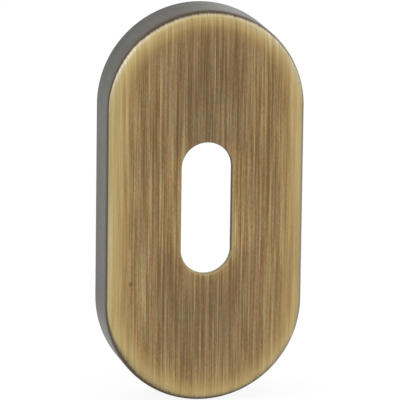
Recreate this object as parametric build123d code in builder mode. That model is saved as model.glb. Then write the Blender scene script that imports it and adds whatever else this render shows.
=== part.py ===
"""Keyhole rosette for an interior door: a shallow brass cap, drawn from one sheet.

The frame stands as the rosette does on the door. Z points up along the long axis, X points to the right as
seen from the front, and the front face looks along -Y. The open rim lies on the door's face, the plane Y = 0,
and the origin is on that plane, on the axis of the key slot.
"""

import os

from build123d import *

# Driving dimensions in millimetres
width = 31.5  # across the straight sides
height = 62.5  # over the round ends
depth = 9.0  # door face to front face
wall = 1.0  # sheet thickness, the same on the face and on the skirt
bend_radius = 0.75  # inside the bend between the face and the skirt
slot_width = 8.0  # across the key slot's straight sides
slot_height = 21.0  # over the key slot's round ends
slot_edge_radius = 0.4  # edge pulled in by the punch, on the front
rim_break = 0.2  # chamfer that takes the burr off the trimmed rim, outside

# The outside of the bend runs one sheet thickness round its inside
edge_radius = bend_radius + wall

with BuildPart() as rosette_cover:
    # The cup that the press draws: a full round at each end of two straight sides
    with BuildSketch(Plane.XZ):
        SlotOverall(height, width, rotation=90)
    extrude(amount=depth)
    front = rosette_cover.faces().sort_by(Axis.Y)[0]
    fillet(front.edges(), radius=edge_radius)

    # One sheet thickness all over, open towards the door
    back = rosette_cover.faces().sort_by(Axis.Y)[-1]
    offset(amount=-wall, openings=back)

    # The trimmed rim that sits on the door
    rim = rosette_cover.faces().sort_by(Axis.Y)[-1]
    chamfer(rim.outer_wire().edges(), length=rim_break)

    # The key slot, punched from the front
    with BuildSketch(Plane.XZ.offset(depth)):
        SlotOverall(slot_height, slot_width, rotation=90)
    extrude(amount=-wall, mode=Mode.SUBTRACT)
    face = rosette_cover.faces().sort_by(Axis.Y)[0]
    fillet(face.inner_wires()[0].edges(), radius=slot_edge_radius)

rosette_cover.part.label = "rosette_cover"

os.makedirs("parts", exist_ok=True)
export_step(rosette_cover.part, "parts/rosette_cover.step")
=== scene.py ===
"""Keyhole rosette of a door: a drawn brass cap, darkened, brushed on its face and lacquered."""

import math
from types import SimpleNamespace

import bpy
import numpy as np
from mathutils import Matrix, Vector


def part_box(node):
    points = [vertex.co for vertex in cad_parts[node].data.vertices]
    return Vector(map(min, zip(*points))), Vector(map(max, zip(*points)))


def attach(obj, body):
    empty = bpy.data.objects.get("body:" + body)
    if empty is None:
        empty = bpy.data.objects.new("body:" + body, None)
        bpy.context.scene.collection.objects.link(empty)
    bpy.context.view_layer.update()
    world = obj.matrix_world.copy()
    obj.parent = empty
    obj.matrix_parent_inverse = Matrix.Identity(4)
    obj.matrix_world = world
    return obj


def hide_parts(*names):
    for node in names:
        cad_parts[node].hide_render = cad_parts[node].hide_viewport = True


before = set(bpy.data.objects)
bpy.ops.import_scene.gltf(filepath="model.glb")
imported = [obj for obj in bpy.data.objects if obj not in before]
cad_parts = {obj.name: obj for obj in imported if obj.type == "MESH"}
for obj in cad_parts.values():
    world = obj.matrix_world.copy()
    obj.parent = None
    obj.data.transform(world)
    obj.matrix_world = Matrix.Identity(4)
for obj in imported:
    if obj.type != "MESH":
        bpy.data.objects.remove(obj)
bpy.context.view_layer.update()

# The cap is one sheet of brass, drawn into a shallow cup with round ends and punched for the key.
# It is darkened in a bath, brushed up and down until the face and its edge are brass again, and
# lacquered. It has no screws of its own: it is pushed over a base on the door.
cap_low, cap_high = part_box("rosette_cover")
half_width = (cap_high.x - cap_low.x) / 2
depth = cap_high.y - cap_low.y
spine = (cap_high.z - cap_low.z) / 2 - half_width  # half the length of the straight sides
sheet = 0.0010
bend_outside = 0.00175
slot_half_width = 0.0040
slot_spine = 0.0065
slot_lip = 0.0004  # the punch pulls the edge of the slot in
rim_break = 0.0002
deburred = 0.00005  # what tumbling leaves of a sharp edge


def rounded_section(corners, arc_steps, side_steps):
    """The section through the sheet, once round, in columns.

    The columns are the half length of the spine, the distances from the spine and from the door,
    and the normal's parts outwards and to the front. A corner is an arc. Its centre lies one radius
    inside both sides, each of its points lies one radius from the centre along the normal, and the
    normal turns evenly from the first side's to the second's. A negative radius rounds a hollow
    corner. Evenly spaced points fill the straight sides between the arcs.
    """
    arcs = []
    for spine_here, out, front, turn_from, turn_to, radius in corners:
        turn = np.radians(np.linspace(turn_from, turn_to, arc_steps))
        normal = np.column_stack([np.cos(turn), np.sin(turn)])
        lean = normal[0] + normal[-1]
        centre = np.array([out, front]) - radius * lean / (1 + normal[0] @ normal[-1])
        spines = np.full(arc_steps, spine_here)
        arcs.append(np.column_stack([spines, centre + radius * normal, normal]))
    share = np.linspace(0, 1, side_steps + 1)[1:-1, None]
    runs = []
    for arc, following in zip(arcs, arcs[1:] + arcs[:1]):
        runs += [arc, (1 - share) * arc[-1] + share * following[0]]
    return np.vstack(runs)


def directions_round(end_steps, side_steps):
    """The way round the outline, in columns.

    The columns are the place along the spine, from -1 to 1, and the two parts of the direction
    outwards. The way goes up the right side, over the top, down the left side and round the bottom.
    On the sides the place runs along the spine and the direction stays, and round the ends it is
    the other way about.
    """
    rise = np.linspace(-1, 1, side_steps, endpoint=False)
    turn = np.linspace(0, np.pi, end_steps, endpoint=False)
    still = np.zeros(side_steps)
    right = np.column_stack([rise, still + 1, still])
    top = np.column_stack([np.ones(end_steps), np.cos(turn), np.sin(turn)])
    return np.vstack([right, top, -right, -top])


# Each corner: the half length of its spine, its distance from it, its distance from the door, the
# normals' angles before and after it (0 outwards, 90 to the front), and its radius
cap_corners = (
    (slot_spine, slot_half_width, depth - sheet, 270, 180, deburred),
    (slot_spine, slot_half_width, depth, 180, 90, slot_lip),
    (spine, half_width, depth, 90, 0, bend_outside),
    (spine, half_width, rim_break, 0, -45, deburred),
    (spine, half_width - rim_break, 0.0, -45, -90, deburred),
    (spine, half_width - sheet, 0.0, -90, -180, deburred),
    (spine, half_width - sheet, depth - sheet, -180, -90, sheet - bend_outside),
)
bend_corner = 2
rim_corner = 5
arc_steps = 20
side_steps = 10
section = rounded_section(cap_corners, arc_steps, side_steps)
way = directions_round(end_steps=80, side_steps=20)

# A point stands out from the spine, at its place along it, in the outline's direction
place, out_x, out_z = (column[:, None] for column in way.T)
spine_here, out, front, normal_out, normal_front = (column[None, :] for column in section.T)
points = np.stack([out * out_x, -front + 0 * out_x, spine_here * place + out * out_z], axis=2)
normals = np.stack([normal_out * out_x, -normal_front + 0 * out_x, normal_out * out_z], axis=2)

# Four neighbours on the grid make a face, and both ways round are closed
around, along = np.meshgrid(np.arange(len(way)), np.arange(len(section)), indexing="ij")
around_next = (around + 1) % len(way)
along_next = (along + 1) % len(section)
quads = np.stack([
    around * len(section) + along,
    around * len(section) + along_next,
    around_next * len(section) + along_next,
    around_next * len(section) + along,
], axis=2).reshape(-1, 4)

# The sheet's own map is the flat blank: the length along the section, laid out from the spine. The
# outside is laid out from where the bend starts, and the inside from the slot, on the other half of
# the map
steps = np.hypot(*np.diff(section[:, 1:3], axis=0, append=section[:1, 1:3]).T)
run = np.concatenate([[0], np.cumsum(steps)])
corner_stride = arc_steps + side_steps - 1
bend_start = bend_corner * corner_stride
rim_end = rim_corner * corner_stride + arc_steps - 1
is_inside = np.arange(len(section)) >= rim_end
laid_from = np.where(is_inside, run[-1] - run[:-1], run[:-1] - run[bend_start])
laid_to = np.where(is_inside, run[-1] - run[1:], run[1:] - run[bend_start])
laid_start = np.where(is_inside, slot_half_width, half_width - bend_outside)
map_side = 0.16  # metres of blank to one side of the map
map_across = np.where(is_inside, 0.75, 0.25)
map_up = 0.5


def place_on_blank(way_index, section_index, laid_out):
    """Where a corner of each face lies on the blank.

    It lies out from the spine, in its own direction, by the length that is laid out up to it.
    """
    reach = (laid_start + laid_out)[along]
    across = reach * way[way_index, 1]
    up = section[section_index, 0] * way[way_index, 0] + reach * way[way_index, 2]
    return np.stack([map_across[along] + across / map_side, map_up + up / map_side], axis=2)


blank_map = np.stack([
    place_on_blank(around, along, laid_from),
    place_on_blank(around, along_next, laid_to),
    place_on_blank(around_next, along_next, laid_to),
    place_on_blank(around_next, along, laid_from),
], axis=2).reshape(-1, 2)

cap_mesh = bpy.data.meshes.new("brass_cap")
cap_mesh.from_pydata(points.reshape(-1, 3).tolist(), [], quads.tolist())
cap_mesh.uv_layers.new(name="blank").uv.foreach_set("vector", blank_map.astype(np.float32).ravel())
cap_mesh.polygons.foreach_set("material_index", is_inside[along].astype(np.int32).ravel())
cap_mesh.polygons.foreach_set("use_smooth", np.ones(len(quads), bool))
cap_mesh.normals_split_custom_set_from_vertices(normals.reshape(-1, 3).tolist())
cap = bpy.data.objects.new("brass_cap", cap_mesh)
bpy.context.scene.collection.objects.link(cap)


def wire(node, inputs):
    """Links the inputs of a shader node to patterns, or sets them to plain values."""
    for name, value in inputs.items():
        if isinstance(value, Pattern):
            node.id_data.links.new(value.socket, node.inputs[name])
        else:
            node.inputs[name].default_value = value


def add(tree, kind, inputs=None, **settings):
    """Adds one shader node, with its settings and its inputs."""
    node = tree.nodes.new("ShaderNode" + kind)
    for name, value in settings.items():
        setattr(node, name, value)
    wire(node, inputs or {})
    return node


class Pattern:
    """A number or a colour at each point of the sheet, as it comes out of a shader node.

    Patterns are added, subtracted, multiplied and divided like numbers, with each other or with a
    number, and each step is one more node. Of two values, at_least takes the larger and at_most the
    smaller.
    """

    def __init__(self, node, output=0):
        self.socket = node.outputs[output]
        self.tree = node.id_data

    def reckon(self, operation, second=0.0, third=0.0):
        """One step of arithmetic with this pattern and up to two more values."""
        return Pattern(add(self.tree, "Math", {0: self, 1: second, 2: third}, operation=operation))

    def __add__(self, other):
        return self.reckon("ADD", other)

    def __sub__(self, other):
        return self.reckon("SUBTRACT", other)

    def __rsub__(self, number):
        return Pattern(add(self.tree, "Math", {0: number, 1: self}, operation="SUBTRACT"))

    def __mul__(self, other):
        return self.reckon("MULTIPLY", other)

    def __truediv__(self, other):
        return self.reckon("DIVIDE", other)

    def __abs__(self):
        return self.reckon("ABSOLUTE")

    def at_least(self, other):
        return self.reckon("MAXIMUM", other)

    def at_most(self, other):
        return self.reckon("MINIMUM", other)

    __radd__ = __add__


def fade(value, span, levels=(0.0, 1.0)):
    """A smooth change from the first level to the second while the value crosses the span.

    The share between the levels is three times the square of the way across, less twice its cube.
    """
    start, end = span
    low, high = levels
    inputs = {"Value": value, "From Min": start, "From Max": end, "To Min": low, "To Max": high}
    return Pattern(add(value.tree, "MapRange", inputs, interpolation_type="SMOOTHSTEP"))


def blend(share, first, second, how="MIX"):
    """Two colours, mixed by a share."""
    tree = next(value.tree for value in (share, first, second) if isinstance(value, Pattern))
    inputs = {0: share, 6: first, 7: second}  # the sockets that a Mix node keeps for colours
    return Pattern(add(tree, "Mix", inputs, data_type="RGBA", blend_type=how), 2)


def tint(share, colour, by):
    """A colour times another one, as far as the share goes."""
    return blend(share, colour, by, "MULTIPLY")


def colours_along(value, stops):
    """A colour that runs through the stops as the value goes from 0 to 1."""
    node = add(value.tree, "ValToRGB", {"Fac": value})
    elements = node.color_ramp.elements
    while len(elements) < len(stops):
        elements.new(1.0)
    for element, (position, colour) in zip(elements, stops):
        element.position = position
        element.color = colour
    return Pattern(node)


def noise(x, y, z, detail):
    """Cloudy values round 0.5: a swell to each unit of x, y and z, and finer ones by the detail."""
    where = Pattern(add(x.tree, "CombineXYZ", {"X": x, "Y": y, "Z": z}))
    return Pattern(add(x.tree, "TexNoise", {"Vector": where, "Scale": 1.0, "Detail": detail}))


def hypotenuse(across, up):
    """The long side over two sides at right angles."""
    sides = Pattern(add(across.tree, "CombineXYZ", {"X": across, "Z": up}))
    return Pattern(add(across.tree, "VectorMath", {0: sides}, operation="LENGTH"), "Value")


mm = 1000.0  # millimetres to the metre: the finish is worked out in millimetres


def millimetres(tree):
    """The place on the piece in millimetres, as x, y and z."""
    where = Pattern(add(tree, "TexCoord"), "Object")
    scaled = Pattern(add(tree, "VectorMath", {0: where, 3: mm}, operation="SCALE"))
    node = add(tree, "SeparateXYZ", {0: scaled})
    return Pattern(node, "X"), Pattern(node, "Y"), Pattern(node, "Z")


def new_material(name):
    """A material with nodes, together with its tree and its shader."""
    material = bpy.data.materials.new(name)
    material.use_nodes = True
    return material, material.node_tree, material.node_tree.nodes["Principled BSDF"]


# The dark coat that the bath leaves, inside and out: deep and thin places in clouds, with faint
# lines in them along the way the sheet was drawn, and a little rougher where it is thin
dark_coat = bpy.data.node_groups.new("dark_coat", "ShaderNodeTree")
for name, kind in (("Deep", "Color"), ("Thin", "Color"), ("Rough", "Float")):
    dark_coat.interface.new_socket(name, in_out="INPUT", socket_type="NodeSocket" + kind)
for name, kind in (("Color", "Color"), ("Roughness", "Float")):
    dark_coat.interface.new_socket(name, in_out="OUTPUT", socket_type="NodeSocket" + kind)
coat_given = dark_coat.nodes.new("NodeGroupInput")
coat_result = dark_coat.nodes.new("NodeGroupOutput")
clouds_to_mm = 0.35
cloud_share = 0.7
drawn_lines_to_mm = 1.4
drawn_line_length = 12.5
thin_places = (0.32, 0.68)
rougher_where_thin = 0.3
x, y, z = millimetres(dark_coat)
clouds = noise(x * clouds_to_mm, y, z * clouds_to_mm, detail=4.0)
drawn = noise(x * drawn_lines_to_mm, y / drawn_line_length, z * drawn_lines_to_mm, detail=2.0)
uneven = clouds * cloud_share + drawn * (1 - cloud_share)
deep_coat = Pattern(coat_given, "Deep")
thin_coat = Pattern(coat_given, "Thin")
wire(coat_result, {
    "Color": blend(fade(uneven, thin_places), deep_coat, thin_coat),
    "Roughness": Pattern(coat_given, "Rough") + (uneven - 0.5) * rougher_where_thin,
})


def past_spine(z, half_length):
    """How far a point lies past the ends of an upright spine, up or down: 0 beside it."""
    return (abs(z) - half_length * mm).at_least(0.0)


def place_on_cap(tree):
    """Where a point lies, as the polisher sees the cap.

    In millimetres there are x, z, forward from the door, in from the skirt (from_edge) and out from
    the slot's wall (from_slot). The last two come from the distance to an upright spine and from a
    half width. The way out from the spine has two parts: to_top is 1 at the very top, 0 along the
    sides and -1 at the very bottom, and to_right is 1 along the right side and -1 along the left.
    end_share is to_top without its sign.
    """
    x, y, z = millimetres(tree)
    from_spine = hypotenuse(x, past_spine(z, spine))
    from_slot_spine = hypotenuse(x, past_spine(z, slot_spine))
    end_share = past_spine(z, spine) / from_spine
    return SimpleNamespace(
        x=x,
        z=z,
        forward=y * -1.0,
        from_edge=half_width * mm - from_spine,
        from_slot=from_slot_spine - slot_half_width * mm,
        end_share=end_share,
        to_top=end_share * z.reckon("SIGN"),
        to_right=x / from_spine,
    )


# The brush draws its lines in layers: lines to a millimetre, length in millimetres, and strength
brush_layers = (
    (1.6, 18.0, 0.78),
    (1.7, 30.0, 0.70),
    (2.9, 9.0, 0.75),
    (3.4, 30.0, 0.95),
    (4.2, 8.0, 0.44),
    (5.4, 18.0, 0.70),
    (6.1, 6.0, 0.56),
    (8.0, 12.0, 0.58),
)


def brushed_lines(at):
    """The lines that the brush drew up and down, as a height round 0.

    Each layer is a noise that is stretched along z to the lines' length and weighed by their
    strength, and the layers are added up. A few bright scratches are added where one more such
    noise is high.
    """
    layer_gap = 7  # the layers lie apart in the noise, so that no two are alike
    layers = [
        (noise(at.x * lines_to_mm, layer_gap * number, at.z / length, detail=0.0) - 0.5) * strength
        for number, (lines_to_mm, length, strength) in enumerate(brush_layers, start=1)
    ]
    scratch_layer = 40.5
    scratches_to_mm = 6.5
    scratch_length = 20.0
    scratch_strength = 0.30
    scratches = noise(at.x * scratches_to_mm, scratch_layer, at.z / scratch_length, detail=0.0)
    return sum(layers) + fade(scratches, (0.64, 0.80), (0.0, scratch_strength))


# The brass from the edge inwards, by shares of the half width
pale_brass = (0.470, 0.374, 0.180, 1)
bare_brass = (0.519, 0.398, 0.159, 1)
worn_brass = (0.500, 0.357, 0.133, 1)
rubbed_brass = (0.415, 0.275, 0.094, 1)
brushed_brass = (0.332, 0.205, 0.063, 1)
brown_brass = (0.275, 0.167, 0.052, 1)
deep_brass = (0.222, 0.134, 0.042, 1)
brass_inwards = (
    (0.012, pale_brass),
    (0.050, bare_brass),
    (0.083, worn_brass),
    (0.146, rubbed_brass),
    (0.222, brushed_brass),
    (0.350, brown_brass),
    (0.860, deep_brass),
)


def laid_bare(at, lines):
    """The brass by how far the brush laid it bare: light at edge and slot, brown in the middle.

    It goes by the least of three distances in millimetres. The first is that from the edge, made
    less at the sides and more round the top. The second starts at the slot and grows away from it,
    slowly beside it, fast past its ends and at once above it. The third falls from the middle line
    outwards, which keeps the sides of the face from the deepest brown. The lines are taken off the
    least, so that they run out into the bare brass, and the colours follow what is left as a share
    of the half width.
    """
    wider_side = 0.7
    right_share = 0.3
    narrower_top = 2.0
    left = fade(at.to_right, (0.2, -0.9)) * fade(at.to_top, (0.6, -0.6))
    right = fade(at.to_right, (0.5, 0.95)) * fade(at.z, (-14.0, -4.0), (0.0, right_share))
    less = (left + right) * fade(at.from_edge, (0.8, 2.2), (0.0, wider_side))
    more = fade(at.to_top, (0.1, 0.9)) * fade(at.from_edge, (1.2, 4.5), (0.0, narrower_top))
    by_edge = at.from_edge - less + more

    slot_wear = 2.6
    middle_of_wear = 1.0
    slow_growth = 0.6
    fast_growth = 2.5
    jump_above = 10.6
    least_jump = 0.1
    aside = abs(at.x)
    growth = fade(abs(at.z - middle_of_wear), (6.5, 10.5), (slow_growth, fast_growth))
    in_line = fade(aside, (2.0, 4.5), (1.0, least_jump))
    above = fade(at.z, (4.0, 13.0), (0.0, jump_above)) * in_line
    by_slot = at.from_slot * growth + (above + slot_wear)

    deep_middle = 14.0
    brown_side = 4.6
    by_middle = fade(aside, (1.0, 9.0), (deep_middle, brown_side))

    side_run = 0.3
    top_run = 1.2
    run_out = lines * fade(at.to_top, (0.6, 1.0), (side_run, top_run))
    least = by_edge.at_most(by_slot).at_most(by_middle)
    return colours_along((least - run_out) / (half_width * mm), brass_inwards)


def with_painted_highlight_and_shade(at, tone):
    """The rim of the bend: a painted highlight, pale round the top, and a band of painted shade
    inside it.

    The painted highlight is full next to the skirt and fades inwards. On the right a weaker one
    reaches further in, and the larger share of the two counts. The painted shade lies between two
    distances from the edge, at the very top, where the highlight ends.
    """
    # The pale colour that is painted along the rim as a highlight
    highlight_brass = (0.515, 0.435, 0.305, 1)
    highlight_strength = 0.85
    right_highlight_strength = 0.35
    # How far the painted shade inside the highlight darkens the brass
    shade_tint = (0.87, 0.87, 0.87, 1)
    # The painted highlight: round the top next to the skirt, and weaker but reaching further in on
    # the right
    crown_highlight = fade(at.to_top, (0.0, 0.4), (0.0, highlight_strength)) * fade(at.from_edge, (0.85, 0.30))
    right = fade(at.to_right, (0.2, 0.7), (0.0, right_highlight_strength)) * fade(at.to_top, (0.0, 0.3))
    right_highlight = right * fade(at.from_edge, (1.7, 0.8))
    # Painted shade: a darker band just inside the highlight, at the very top
    shade_band = fade(at.from_edge, (0.65, 0.95)) * fade(at.from_edge, (1.75, 1.25))
    highlight_end_shade = shade_band * fade(at.to_top, (0.70, 0.95))
    return tint(highlight_end_shade, blend(crown_highlight.at_least(right_highlight), tone, highlight_brass), shade_tint)


def streaked(at, tone, lines):
    """The brass with the lines in it: a light line is paler as well, and a dark one redder.

    Lines and a fine grain make one swing, which is calmer at the bare edge and ends softly on its
    dark side. Red, green and blue are multiplied by 1 and the swing, each with a gain of its own.
    Cool and rosy patches from one more noise lie over it all.
    """
    grain_layer = 50.5
    grains_to_mm = 6.0
    grains_up = 2.4
    grain_strength = 0.9
    grain = noise(at.x * grains_to_mm, grain_layer, at.z * grains_up, detail=1.0) - 0.5

    inwards = (1.5, 5.0)
    edge_calm = 0.2
    calm = fade(at.from_edge, inwards, (edge_calm, 1.0))
    darkest = -0.36
    soft_end = 0.15
    swing = ((grain * grain_strength + lines) * calm).reckon("SMOOTH_MAX", darkest, soft_end)
    red_gain = 0.65
    green_gain = 0.98
    edge_blue_gain = 1.7
    blue_gain = fade(at.from_edge, inwards, (edge_blue_gain, 1.85))
    red, green, blue = (swing * gain + 1.0 for gain in (red_gain, green_gain, blue_gain))
    swung = Pattern(add(swing.tree, "CombineColor", {"Red": red, "Green": green, "Blue": blue}))
    tone = tint(1.0, tone, swung)

    patch_layer = 60.5
    patches_to_mm = 2.4
    patches_up = 0.35
    cool = (0.925, 1, 1.08, 1)
    rosy = (1.075, 1, 0.92, 1)
    patches = noise(at.x * patches_to_mm, patch_layer, at.z * patches_up, detail=2.0)
    return tint(calm, tone, colours_along(patches, ((0.3, cool), (0.7, rosy))))


def spotted(at, tone):
    """One dark spot in the finish at the lower left, full over the inner half of its reach."""
    spot_x = -12.07
    spot_z = -11.64
    reach = 0.5
    spot_tint = (0.62, 0.55, 0.42, 1)
    from_spot = hypotenuse(at.x - spot_x, at.z - spot_z)
    return tint(fade(from_spot, (reach, reach / 2)), tone, spot_tint)


def punched(at, tone):
    """The edge of the slot: a paler lip in front, and behind it the wall that the punch left.

    The lip's share falls with the distance from the wall, and it is weaker above. The wall is brass
    round the bottom, and beside it painted shade darkens it. With the tone comes how far a point is
    off the wall: 0 on it, 1 a hair away.
    """
    lip_brass = (0.400, 0.305, 0.150, 1)
    wall_brass = (0.360, 0.290, 0.165, 1)
    # The colour of the wall beside the slot, darkened as painted shade
    painted_slot_shade = (0.165, 0.138, 0.082, 1)
    lip_above = 0.2
    lip_below = 0.9
    lip = fade(at.from_slot, (0.35, 0.15)) * fade(at.z, (10.0, 5.0), (lip_above, lip_below))
    # The wall: brass round the bottom, painted shade beside it
    wall = blend(fade(at.z, (-6.2, -7.4)), painted_slot_shade, wall_brass)
    off_wall = fade(at.from_slot, (0.03, 0.15))
    return blend(off_wall, wall, blend(lip, tone, lip_brass)), off_wall


def brush_reach(at):
    """How far the brush reached: 1 on the face, 0 on the skirt, with a line round the bend between.

    The line lies where the bend has turned by a set angle from the skirt. It is higher along the
    right side, at the very top and most of all round the bottom, by the largest of the three, and
    lower at the upper left. At the ends it is ragged by a noise, and the higher it is, the softer
    is the change.
    """
    turned = math.radians(30)
    corner_rise = 0.12
    side_rise = 0.32
    top_rise = 0.24
    bottom_rise = 0.55
    left_fall = -0.20
    beside = fade(at.to_right, (0.8, 1.0)) * fade(at.to_top, (0.25, 0.0), (0.0, side_rise))
    right = fade(at.to_right, (0.3, 0.7), (0.0, corner_rise)) + beside
    top = fade(at.to_top, (0.7, 1.0), (0.0, top_rise))
    bottom = fade(at.to_top, (0.0, -0.6), (0.0, bottom_rise))
    up_part = 0.42
    left_part = 0.91
    to_upper_left = at.to_top * up_part - at.to_right * left_part
    fall = fade(to_upper_left, (0.88, 0.98), (0.0, left_fall))
    rise = right.at_least(top).at_least(bottom) + fall

    rag_layer = 15.5
    rags_to_mm = 4.5
    raggedness = 0.6
    ragged = noise(at.x * rags_to_mm, rag_layer, 0.0, detail=2.0) - 0.5
    rag = ragged * (at.end_share * raggedness)

    least_soft = 0.17
    softer_by_rise = 0.5
    softness = rise * softer_by_rise + least_soft
    line = mm * (depth - bend_outside * (1 - math.sin(turned)))
    past_line = (at.forward + rag) - (rise + line)
    return fade(past_line / softness, (-1.0, 1.0))


def dark_skirt(at, coat):
    """The dark coat on the skirt, with brown next to the line that the brush reached.

    It is lighter by a tint: round the bottom as a painted reflection of the white floor, and a
    little towards the front. The two shares are added.
    """
    # The tint of the painted floor reflection and of the lighter front
    paler_tint = (1.68, 1.62, 1.60, 1)
    front_paler = 0.25
    brown_coat = (0.068, 0.049, 0.026, 1)
    # Painted reflection of the floor round the bottom, and lighter towards the front
    floor_reflection_and_front = fade(at.to_top, (0.0, -0.40)) + fade(at.forward, (1.5, 5.5), (0.0, front_paler))
    return blend(fade(at.forward, (6.0, 7.5)), tint(floor_reflection_and_front, coat, paler_tint), brown_coat)


def brushed_outside():
    """Brushed antique brass on the face and its edge, and the dark coat below them on the skirt.

    Colour, roughness and metal go from the coat's to the brass's as far as the brush reached, and
    the slot's edge counts as reached. The lacquer is full on the brass and on the right of the
    bend, thinner on the skirt, thinnest round the bottom, and missing on the slot's wall.
    """
    material, tree, shader = new_material("brushed_antique_brass")
    at = place_on_cap(tree)
    lines = brushed_lines(at)
    # The rim of the brass gets a painted highlight, with painted shade just inside it
    tone = with_painted_highlight_and_shade(at, laid_bare(at, lines))
    tone = spotted(at, streaked(at, tone, lines))
    tone, off_wall = punched(at, tone)

    coat_look = {"Deep": (0.054, 0.053, 0.044, 1), "Thin": (0.072, 0.070, 0.0575, 1), "Rough": 0.5}
    coat = add(tree, "Group", coat_look, node_tree=dark_coat)
    coat_rough = Pattern(coat, "Roughness")
    brass_rough = 0.6
    line_gloss = 0.2
    brass_metal = 0.85
    brushed = brush_reach(at).at_least(fade(at.from_slot, (1.0, 0.5)))
    rougher = (brass_rough - lines * line_gloss) - coat_rough

    side_lacquer = 0.40
    bottom_lacquer = 0.18
    right_bend = fade(at.forward, (6.8, 7.6)) * fade(at.to_right, (0.45, 0.95))
    skirt_lacquer = fade(at.to_top, (-0.45, -0.65), (side_lacquer, bottom_lacquer))
    lacquer = fade(brushed.at_least(right_bend), (0.0, 1.0), (skirt_lacquer, 1.0)) * off_wall

    line_depth = {"Strength": 0.3, "Distance": 0.00003, "Height": brushed * lines}
    wire(shader, {
        "Base Color": blend(brushed, dark_skirt(at, Pattern(coat, "Color")), tone),
        "Roughness": coat_rough + brushed * rougher,
        "Metallic": brushed * brass_metal,
        "Coat Weight": lacquer,
        "Coat Roughness": 0.2,
        "Normal": Pattern(add(tree, "Bump", line_depth)),
        "Tangent": Pattern(add(tree, "Tangent", direction_type="UV_MAP", uv_map="blank")),
        "Anisotropic": 0.5,
        "Specular IOR Level": 0.0,
    })
    return material


def plain_inside():
    """The inside, as the bath left it: brown and dull, with faint marks of rolling up the sheet."""
    material, tree, shader = new_material("dark_inside")
    coat_look = {"Deep": (0.165, 0.116, 0.058, 1), "Thin": (0.235, 0.168, 0.083, 1), "Rough": 0.42}
    coat = add(tree, "Group", coat_look, node_tree=dark_coat)
    marks_to_mm = 2.2
    marks_up = 0.06
    mark = (0.86, 0.86, 0.86, 1)
    clear = (1, 1, 1, 1)
    x, y, z = millimetres(tree)
    rolled = noise(x * marks_to_mm, y, z * marks_up, detail=3.0)
    marks = colours_along(rolled, ((0.3, mark), (0.7, clear)))
    mark_depth = {"Strength": 0.3, "Distance": 0.00003, "Height": rolled}
    wire(shader, {
        "Base Color": tint(1.0, Pattern(coat, "Color"), marks),
        "Roughness": Pattern(coat, "Roughness"),
        "Metallic": 0.85,
        "Normal": Pattern(add(tree, "Bump", mark_depth)),
        "Specular IOR Level": 0.35,
    })
    return material


cap_mesh.materials.append(brushed_outside())
cap_mesh.materials.append(plain_inside())
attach(cap, "root")
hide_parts("rosette_cover")

# The stage: a plain white floor that the cap stands on, far wider than the picture. It glows where
# it is seen or mirrored, so that it shows as white, and it keeps the cap's shadow
floor_half = 2.0
floor_corners = [(-1, -1), (1, -1), (1, 1), (-1, 1)]
floor_mesh = bpy.data.meshes.new("floor")
floor_points = [(a * floor_half, b * floor_half, cap_low.z) for a, b in floor_corners]
floor_mesh.from_pydata(floor_points, [], [(0, 1, 2, 3)])
floor = bpy.data.objects.new("floor", floor_mesh)
bpy.context.scene.collection.objects.link(floor)
white_floor, tree, paper = new_material("white_floor")
wire(paper, {"Base Color": (0.93, 0.93, 0.93, 1), "Roughness": 0.9, "Specular IOR Level": 0.0})
glow_share = 0.9
glow = Pattern(add(tree, "Emission", {"Color": (1, 1, 1, 1), "Strength": 1.0}))
ray = add(tree, "LightPath")
seen = Pattern(ray, "Is Camera Ray").at_least(Pattern(ray, "Is Glossy Ray"))
seen = seen.at_least(Pattern(ray, "Is Transmission Ray"))
lifted = Pattern(add(tree, "MixShader", {0: seen * glow_share, 1: Pattern(paper), 2: glow}))
wire(tree.nodes["Material Output"], {"Surface": lifted})
floor_mesh.materials.append(white_floor)

# The light: a pale room all round, and six soft lamps for the metal and the lacquer to mirror.
# Strips run along the left, the right and the top, and wider ones stand in front and behind
world = bpy.data.worlds.new("studio")
bpy.context.scene.world = world
world.use_nodes = True
wire(world.node_tree.nodes["Background"], {"Color": (1, 1, 1, 1), "Strength": 0.97})


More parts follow.
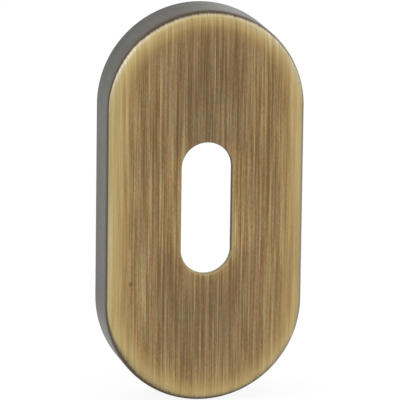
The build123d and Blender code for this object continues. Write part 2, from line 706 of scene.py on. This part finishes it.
def soft_lamp(name, place, size, watts, length_way):
    """A lamp at that place that faces the origin, its length as near to the given way as can be.

    The lamp's back is the way from the origin to it. The length's way less its part along the back
    is square to the back, and the lamp's width is square to both.
    """
    lamp = bpy.data.lights.new(name, "AREA")
    lamp.shape = "RECTANGLE"
    lamp.size, lamp.size_y = size
    lamp.energy = watts
    back = Vector(place).normalized()
    length = (Vector(length_way) - back * back.dot(Vector(length_way))).normalized()
    stand = Matrix((length, back.cross(length), back)).transposed().to_4x4()
    stand.translation = place
    holder = bpy.data.objects.new(name, lamp)
    holder.matrix_world = stand
    bpy.context.scene.collection.objects.link(holder)


# Each lamp: its place and its length and width in metres, its watts, and the way of its length
soft_lamp("left_lamp", (-0.50, 0.02, 0.31), (0.50, 0.05), 0.68, (0.34, -0.375, 0.576))
soft_lamp("front_lamp", (0.25, -0.70, 0.45), (0.50, 0.50), 0.4, (1, 0, 0))
soft_lamp("back_lamp", (0.33, 0.94, 0.10), (0.36, 0.24), 0.16, (1, 0, 0))
soft_lamp("right_lamp", (0.58, 0.68, 0.45), (0.50, 0.50), 0.8, (1, 0, 0))
soft_lamp("side_lamp", (0.70, -0.02, 0.38), (0.35, 0.08), 0.30, (-0.46, -0.29, 0.84))
soft_lamp("top_lamp", (0.10, -0.13, 0.62), (0.90, 0.12), 0.6, (1, 0, 0))

# The camera: to the left of the front and a little above it, with a long lens. It is turned about
# the upright, tipped down and leant to one side, and the cap's origin lies a little off the middle
# of the picture
camera_turn = math.radians(13.57)
camera_tip = math.radians(13.62)
camera_lean = math.radians(0.75)
camera_far = 0.800
origin_right = -0.001035
origin_up = 0.00074
level_right = Vector((math.cos(camera_turn), -math.sin(camera_turn), 0.0))
level_ahead = Vector((math.sin(camera_turn), math.cos(camera_turn), 0.0))
ahead = math.cos(camera_tip) * level_ahead - math.sin(camera_tip) * Vector((0, 0, 1))
level_up = level_right.cross(ahead)
right = math.cos(camera_lean) * level_right + math.sin(camera_lean) * level_up
up = math.cos(camera_lean) * level_up - math.sin(camera_lean) * level_right
camera_stand = Matrix((right, up, -ahead)).transposed().to_4x4()
camera_stand.translation = -(origin_right * right + origin_up * up + camera_far * ahead)
camera = bpy.data.objects.new("camera", bpy.data.cameras.new("camera"))
camera.data.sensor_width = 36
camera.data.lens = 456.8
camera.data.clip_start = 0.01
camera.data.clip_end = 20
camera.matrix_world = camera_stand
bpy.context.scene.collection.objects.link(camera)
bpy.context.scene.camera = camera
bpy.context.scene.view_settings.view_transform = "Standard"
